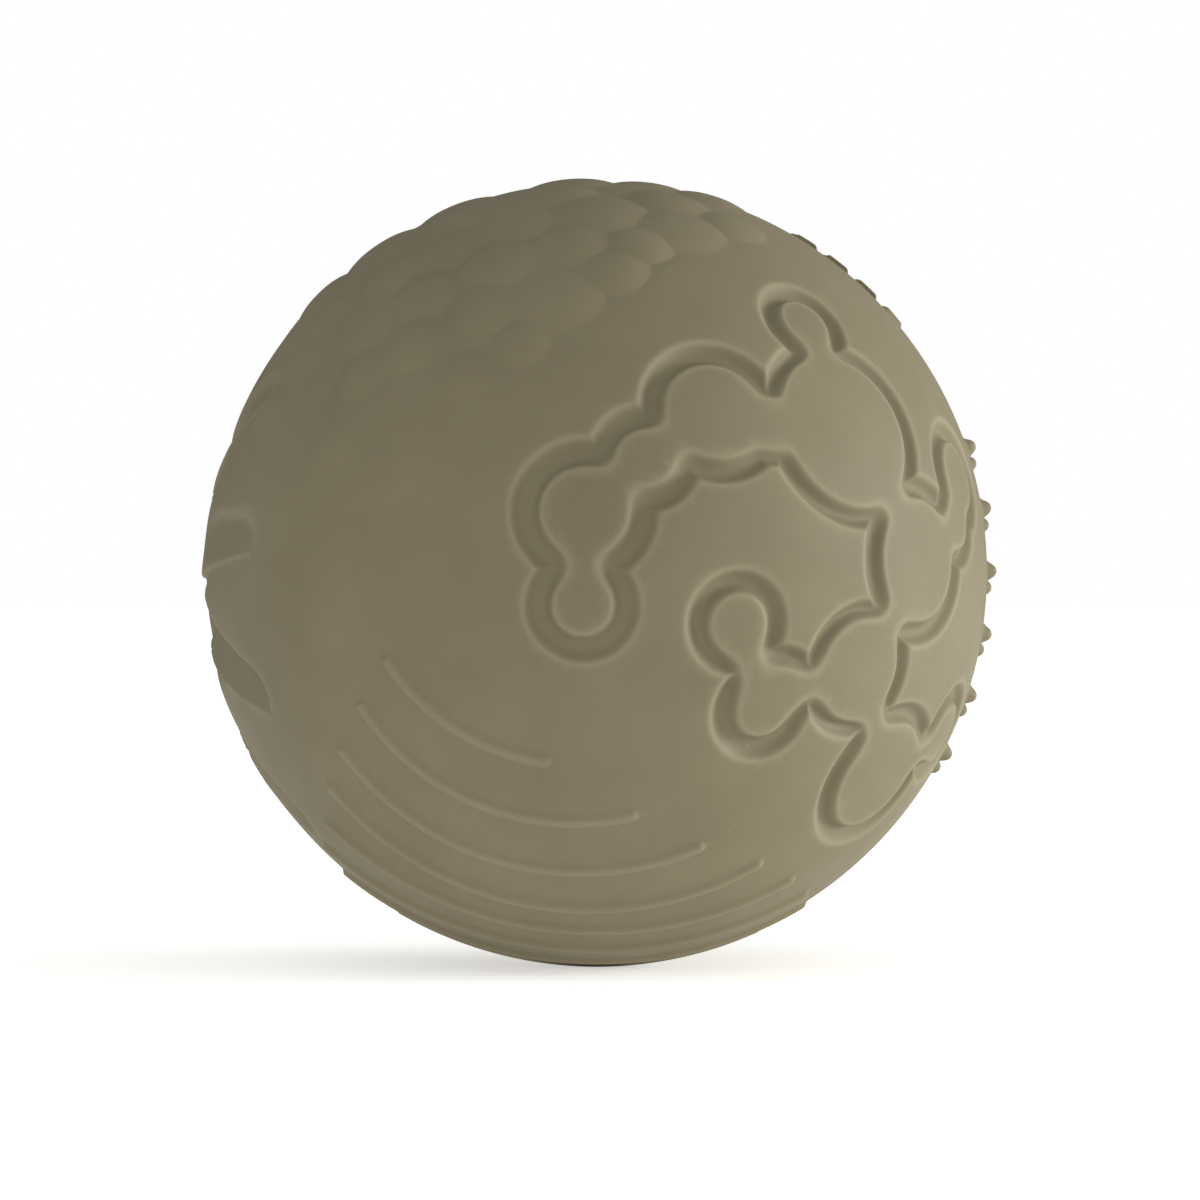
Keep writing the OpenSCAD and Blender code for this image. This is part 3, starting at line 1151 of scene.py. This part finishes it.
@dataclass
class Valve:
    """The flanged tube in the rear half, and the plug that pulls out of it.

    The needle's guide is the narrow hole in the plug's head.
    """

    face: float = 87.9
    tube_r: float = 5.0
    tube_length: float = 17.0
    bore_r: float = 2.65
    flange_r: float = 11.0
    flange_top: float = 83.55
    flange_slope: float = 0.1
    flange_rim: float = 1.6
    tube_top: float = 84.05
    core_r: float = 2.6
    head_r: float = 4.0
    head_low: float = 88.0
    head_t: float = 0.8
    core_length: float = 16.0
    guide_r: float = 1.0
    guide_depth: float = 7.0

    def build_housing(self, rubber: bpy.types.Material) -> bpy.types.Object:
        """Builds the tube with its flange.

        Args:
            rubber: The valve's material.

        Returns:
            The tube, riding on the ball.
        """
        low = self.face - self.tube_length
        under = self.flange_top - self.flange_rim
        corners = (
            Corner(self.bore_r, self.face, rounding=0.25),
            Corner(self.tube_r, self.face, rounding=0.3),
            Corner(self.tube_r, self.tube_top),
            Corner(self.flange_r, self.flange_top - self.flange_slope, rounding=0.3),
            Corner(self.flange_r, under, rounding=0.3),
            Corner(self.tube_r, under, rounding=0.8),
            Corner(self.tube_r, low, rounding=0.5),
            Corner(self.bore_r, low, rounding=0.2),
        )
        piece = turned("valve_tube", corners, closed=True)
        piece.data.materials.append(rubber)
        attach(piece, "ball")
        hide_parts("valve_housing")
        return piece

    def build_core(self, rubber: bpy.types.Material) -> bpy.types.Object:
        """Builds the plug with its head and the needle's guide.

        Args:
            rubber: The valve's material.

        Returns:
            The plug, riding on the core's body.
        """
        top = self.head_low + self.head_t
        low = self.head_low - self.core_length
        guide_end = top - self.guide_depth
        corners = (
            Corner(0.0, guide_end),
            Corner(self.guide_r, guide_end, rounding=0.3),
            Corner(self.guide_r, top, rounding=0.35),
            Corner(self.head_r, top, rounding=0.45),
            Corner(self.head_r, self.head_low, rounding=0.2),
            Corner(self.core_r, self.head_low),
            Corner(self.core_r, low, rounding=0.8),
            Corner(0.0, low),
        )
        piece = turned("valve_plug", corners, closed=False)
        piece.data.materials.append(rubber)
        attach(piece, "core")
        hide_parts("valve_core")
        return piece


@dataclass
class InsideSheets:
    """The seam's tape and the valve's patch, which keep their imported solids."""

    names: Sequence[str] = ("seam_band", "valve_patch")

    def dress(self, nodes: dict, rubber: bpy.types.Material) -> list[bpy.types.Object]:
        """Gives both sheets their material.

        Args:
            nodes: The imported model's objects by the names of their nodes.
            rubber: The sheets' material.

        Returns:
            The sheets.
        """
        sheets = [nodes[name] for name in self.names]
        for sheet in sheets:
            for number in range(len(sheet.material_slots)):
                sheet.material_slots[number].material = rubber
        return sheets


def linear(code: str) -> tuple[float, float, float, float]:
    """Turns an sRGB colour into a linear one.

    Args:
        code: The colour as # and six hex digits.

    Returns:
        Red, green, blue and full alpha.
    """
    parts = [int(code[k:k + 2], 16) / 255 for k in (1, 3, 5)]
    low = [v / 12.92 if v <= 0.04045 else ((v + 0.055) / 1.055) ** 2.4 for v in parts]
    return (low[0], low[1], low[2], 1.0)


def add_node(
    tree: bpy.types.NodeTree, kind: str, inputs: dict | None = None, **settings: str
) -> bpy.types.Node:
    """Adds a node.

    Args:
        tree: The tree that gets it.
        kind: Blender's name of the node's type.
        inputs: Values, or sockets to link, by the name or number of the input.
        settings: The node's own settings.

    Returns:
        The node.
    """
    node = tree.nodes.new(kind)
    for name, value in settings.items():
        setattr(node, name, value)
    for name, value in (inputs or {}).items():
        if isinstance(value, bpy.types.NodeSocket):
            tree.links.new(value, node.inputs[name])
        else:
            node.inputs[name].default_value = value
    return node


def new_material(name: str) -> tuple[bpy.types.Material, bpy.types.NodeTree, bpy.types.Node]:
    """Makes an empty node material.

    Args:
        name: The material's name.

    Returns:
        The material, its node tree and its output node.
    """
    material = bpy.data.materials.new(name)
    material.use_nodes = True
    tree = material.node_tree
    tree.nodes.clear()
    return material, tree, add_node(tree, "ShaderNodeOutputMaterial")


@dataclass(frozen=True)
class MouldedRubber:
    """Natural rubber, press-moulded and tumbled: dull, dense, with a talc-fine grain.

    The eye reads it as one quiet olive grey with slightly cloudier patches, rims painted paler
    as a highlight, and a few pale specks of filler. The real grain and specks are
    about 0.1 mm wide, which is too fine to show, so both are drawn as coarse as they need.
    """

    name: str = "moulded_rubber"
    body: str = "#7b735b"
    # Paler colour painted on lips and crowns as a highlight
    cloud: str = "#756d56"
    highlight_paint: str = "#9a9277"
    speck: str = "#c3bda6"
    highlight_share: float = 0.36
    smoothest: float = 0.56
    dullest: float = 0.65
    ior: float = 1.5
    specular: float = 0.2
    cloud_mm: float = 26.0
    cloud_range: tuple[float, float] = (0.3, 0.7)
    grain_mm: float = 0.55
    grain_depth_mm: float = 0.012
    ripple_mm: float = 5.0
    ripple_depth_mm: float = 0.024
    speck_cell_mm: float = 13.0
    speck_mm: float = 0.12

    def build(self) -> bpy.types.Material:
        """Makes the material.

        Returns:
            The material, which reads how much painted highlight a place gets from the mesh.
        """
        thin, thick = self.cloud_range
        material, tree, output = new_material(self.name)
        place = add_node(tree, "ShaderNodeTexCoord").outputs["Object"]
        cloud = add_node(tree, "ShaderNodeTexNoise", {
            "Vector": place, "Scale": 1 / (self.cloud_mm * MM), "Detail": 4.0, "Roughness": 0.6})
        cloud_mix = add_node(tree, "ShaderNodeMapRange", {
            "Value": cloud.outputs["Fac"], "From Min": thin, "From Max": thick})
        colour = add_node(tree, "ShaderNodeMix", {
            0: cloud_mix.outputs[0], 6: linear(self.body), 7: linear(self.cloud)}, data_type="RGBA")
        # Painted highlight: lips and crowns are mixed towards the paler colour
        painted_highlight = add_node(tree, "ShaderNodeAttribute", attribute_name="painted_highlight")
        rim = add_node(tree, "ShaderNodeMath", {
            0: painted_highlight.outputs["Fac"], 1: self.highlight_share}, operation="MULTIPLY")
        highlight_paint = add_node(tree, "ShaderNodeMix", {
            0: rim.outputs[0], 6: colour.outputs[2], 7: linear(self.highlight_paint)}, data_type="RGBA")
        cells = add_node(tree, "ShaderNodeTexVoronoi", {
            "Vector": place, "Scale": 1 / (self.speck_cell_mm * MM)})
        near = add_node(tree, "ShaderNodeMath", {
            0: cells.outputs["Distance"], 1: self.speck_mm / self.speck_cell_mm},
            operation="LESS_THAN")
        specked = add_node(tree, "ShaderNodeMix", {
            0: near.outputs[0], 6: highlight_paint.outputs[2], 7: linear(self.speck)}, data_type="RGBA")
        grain = add_node(tree, "ShaderNodeTexNoise", {
            "Vector": place, "Scale": 1 / (self.grain_mm * MM), "Detail": 3.0, "Roughness": 0.7})
        fine = add_node(tree, "ShaderNodeBump", {
            "Height": grain.outputs["Fac"], "Strength": 1.0, "Distance": self.grain_depth_mm * MM})
        swirl = add_node(tree, "ShaderNodeTexNoise", {
            "Vector": place, "Scale": 1 / (self.ripple_mm * MM), "Detail": 2.0})
        broad = add_node(tree, "ShaderNodeBump", {
            "Height": swirl.outputs["Fac"], "Strength": 1.0, "Distance": self.ripple_depth_mm * MM,
            "Normal": fine.outputs["Normal"]})
        dull = add_node(tree, "ShaderNodeMapRange", {
            "Value": cloud.outputs["Fac"], "From Min": thin, "From Max": thick,
            "To Min": self.smoothest, "To Max": self.dullest})
        shader = add_node(tree, "ShaderNodeBsdfPrincipled", {
            "Base Color": specked.outputs[2], "Roughness": dull.outputs[0], "IOR": self.ior,
            "Specular IOR Level": self.specular, "Normal": broad.outputs["Normal"]})
        tree.links.new(shader.outputs[0], output.inputs["Surface"])
        return material


@dataclass(frozen=True)
class PlainRubber:
    """Sheet or turned rubber without pattern: the valve, the tape and the patch.

    Its real grain is about 0.1 mm wide, which is too fine to show, so it is drawn coarser.
    """

    name: str
    body: str
    worn: str
    roughness: float
    cloud_mm: float
    grain_mm: float
    grain_depth_mm: float
    cloud_range: tuple[float, float] = (0.35, 0.65)
    roughness_spread: float = 0.06
    ior: float = 1.5

    def build(self) -> bpy.types.Material:
        """Makes the material.

        Returns:
            The material.
        """
        thin, thick = self.cloud_range
        material, tree, output = new_material(self.name)
        place = add_node(tree, "ShaderNodeTexCoord").outputs["Object"]
        cloud = add_node(tree, "ShaderNodeTexNoise", {
            "Vector": place, "Scale": 1 / (self.cloud_mm * MM), "Detail": 3.0})
        mix = add_node(tree, "ShaderNodeMapRange", {
            "Value": cloud.outputs["Fac"], "From Min": thin, "From Max": thick})
        colour = add_node(tree, "ShaderNodeMix", {
            0: mix.outputs[0], 6: linear(self.body), 7: linear(self.worn)}, data_type="RGBA")
        grain = add_node(tree, "ShaderNodeTexNoise", {
            "Vector": place, "Scale": 1 / (self.grain_mm * MM), "Detail": 2.0})
        bump = add_node(tree, "ShaderNodeBump", {
            "Height": grain.outputs["Fac"], "Strength": 1.0, "Distance": self.grain_depth_mm * MM})
        dull = add_node(tree, "ShaderNodeMapRange", {
            "Value": cloud.outputs["Fac"], "To Min": self.roughness - self.roughness_spread,
            "To Max": self.roughness + self.roughness_spread})
        shader = add_node(tree, "ShaderNodeBsdfPrincipled", {
            "Base Color": colour.outputs[2], "Roughness": dull.outputs[0], "IOR": self.ior,
            "Normal": bump.outputs["Normal"]})
        tree.links.new(shader.outputs[0], output.inputs["Surface"])
        return material


# Chlorobutyl valve rubber: moulded in a polished steel tool, so smoother and a little darker
VALVE_RUBBER = PlainRubber(
    name="valve_rubber", body="#55503f", worn="#5d5846", roughness=0.48,
    cloud_mm=6.0, grain_mm=0.4, grain_depth_mm=0.006,
)
# Calendered rubber tape: an even sheet, which talc makes dull
TAPE_RUBBER = PlainRubber(
    name="tape_rubber", body="#6b6654", worn="#757060", roughness=0.72,
    cloud_mm=9.0, grain_mm=0.6, grain_depth_mm=0.02,
)


@dataclass(frozen=True)
class Lamp:
    """A soft lamp that the camera doesn't see.

    Its place, the place it looks at, and its width and height are in metres. Its power is
    in watts.
    """

    name: str
    place: tuple[float, float, float]
    aim: tuple[float, float, float]
    size: tuple[float, float]
    power: float

    def build(self) -> None:
        """Adds the lamp to the scene."""
        data = bpy.data.lights.new(self.name, "AREA")
        data.shape = "RECTANGLE"
        data.size, data.size_y = self.size
        data.energy = self.power
        lamp = bpy.data.objects.new(self.name, data)
        lamp.location = self.place
        way = Vector(self.aim) - Vector(self.place)
        lamp.rotation_euler = way.to_track_quat("-Z", "Y").to_euler()
        lamp.visible_camera = False
        bpy.context.scene.collection.objects.link(lamp)


@dataclass
class Studio:
    """A lit white table in a white room, and one broad lamp to the right.

    The room's light is strongest from its bright side, in front, and weakest from behind.
    The lens and its sensor are in millimetres, and everything else is in metres.
    """

    lens: float = 157.58
    sensor: float = 36.0
    distance: float = 1.2
    shift: tuple[float, float] = (0.00263, -0.023)
    seen_between: tuple[float, float] = (0.05, 50.0)
    ambient: tuple[float, float] = (0.2, 0.98)
    ambient_fall: float = 1.5
    bright_side: tuple[float, float, float] = (-0.08, -0.86, 0.5)
    white: str = "#ffffff"
    table: str = "#f2f2f0"
    table_half: float = 12.0
    table_lift: float = 0.5
    lit_place: tuple[float, float] = (0.0, -0.1)
    lit_gap: float = 0.0002
    lit_size: tuple[float, float] = (1.2, 1.2)
    lit_power: float = 2.3
    key: Lamp = Lamp(
        "key", place=(1.5, 0.02, 0.06), aim=(0.0, 0.0, 0.0), size=(0.8, 0.8), power=30.5
    )

    def camera(self) -> None:
        """Sets the camera level with the ball, where the photograph was taken from."""
        data = bpy.data.cameras.new("camera")
        data.lens = self.lens
        data.sensor_width = self.sensor
        data.shift_x, data.shift_y = self.shift
        data.clip_start, data.clip_end = self.seen_between
        camera = bpy.data.objects.new("camera", data)
        camera.location = (0.0, -self.distance, 0.0)
        camera.rotation_euler = (math.pi / 2, 0.0, 0.0)
        bpy.context.scene.collection.objects.link(camera)
        bpy.context.scene.camera = camera

    def floor(self, level: float) -> None:
        """Lays the pale floor, which looks lighter to the camera than the light makes it.

        Args:
            level: The height of the floor, in metres.
        """
        mesh = bpy.data.meshes.new("floor")
        low, high = -self.table_half, self.table_half
        around = [(low, low), (high, low), (high, high), (low, high)]
        mesh.from_pydata([(x, y, level) for x, y in around], [], [(0, 1, 2, 3)])
        floor = bpy.data.objects.new("floor", mesh)
        bpy.context.scene.collection.objects.link(floor)
        material, tree, output = new_material("white_table")
        path = add_node(tree, "ShaderNodeLightPath")
        matte = add_node(tree, "ShaderNodeBsdfDiffuse", {"Color": linear(self.table)})
        glow = add_node(tree, "ShaderNodeMath", {
            0: path.outputs["Is Camera Ray"], 1: self.table_lift}, operation="MULTIPLY")
        seen = add_node(tree, "ShaderNodeEmission", {
            "Color": linear(self.white), "Strength": glow.outputs[0]})
        both = add_node(tree, "ShaderNodeAddShader", {0: matte.outputs[0], 1: seen.outputs[0]})
        tree.links.new(both.outputs[0], output.inputs["Surface"])
        mesh.materials.append(material)
        floor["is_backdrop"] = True

    def room(self) -> None:
        """Surrounds the ball with soft light, and shows white behind it."""
        world = bpy.data.worlds.new("room")
        bpy.context.scene.world = world
        world.use_nodes = True
        tree = world.node_tree
        tree.nodes.clear()
        path = add_node(tree, "ShaderNodeLightPath")
        way = add_node(tree, "ShaderNodeTexCoord").outputs["Generated"]
        towards = add_node(tree, "ShaderNodeVectorMath", {
            0: way, 1: self.bright_side}, operation="DOT_PRODUCT")
        share = add_node(tree, "ShaderNodeMapRange", {
            "Value": towards.outputs["Value"], "From Min": -1.0})
        fall = add_node(tree, "ShaderNodeMath", {
            0: share.outputs[0], 1: self.ambient_fall}, operation="POWER")
        ambient = add_node(tree, "ShaderNodeMapRange", {
            "Value": fall.outputs[0], "To Min": self.ambient[0], "To Max": self.ambient[1]})
        strength = add_node(tree, "ShaderNodeMapRange", {
            "Value": path.outputs["Is Camera Ray"], "To Min": ambient.outputs[0], "To Max": 1.0})
        back = add_node(tree, "ShaderNodeBackground", {
            "Color": linear(self.white), "Strength": strength.outputs[0]})
        output = add_node(tree, "ShaderNodeOutputWorld")
        tree.links.new(back.outputs[0], output.inputs["Surface"])

    def build(self, level: float) -> None:
        """Builds the whole studio. The lit part of the table is a lamp that looks straight up.

        Args:
            level: The height of the floor, in metres.
        """
        self.camera()
        self.floor(level)
        self.room()
        self.key.build()
        x, y = self.lit_place
        on_table, above = (x, y, level + self.lit_gap), (x, y, 1.0)
        Lamp("lit_table", on_table, above, self.lit_size, self.lit_power).build()
        bpy.context.scene.view_settings.view_transform = "Standard"


def plain_box(corners: tuple[Vector, Vector]) -> list[list[float]]:
    """Turns a box's corners into plain lists of numbers."""
    return [list(corner) for corner in corners]


def report(piece: bpy.types.Object) -> None:
    """Logs a finished piece and how many faces it has."""
    log.info("%s: %d faces", piece.name, len(piece.data.polygons))


def main() -> None:
    """Builds the dressed ball in order."""
    logging.basicConfig(level=logging.INFO)
    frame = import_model()
    cad_box = plain_box(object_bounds())
    skin = Skin()
    skin_rubber = MouldedRubber().build()
    for side in Side:
        report(HalfShell(side, skin).build(skin_rubber))
    valve = Valve()
    valve_rubber = VALVE_RUBBER.build()
    report(valve.build_housing(valve_rubber))
    report(valve.build_core(valve_rubber))
    for sheet in InsideSheets().dress(frame["nodes"], TAPE_RUBBER.build()):
        report(sheet)
    Studio().build(cad_box[0][2])


if __name__ == "__main__":
    main()
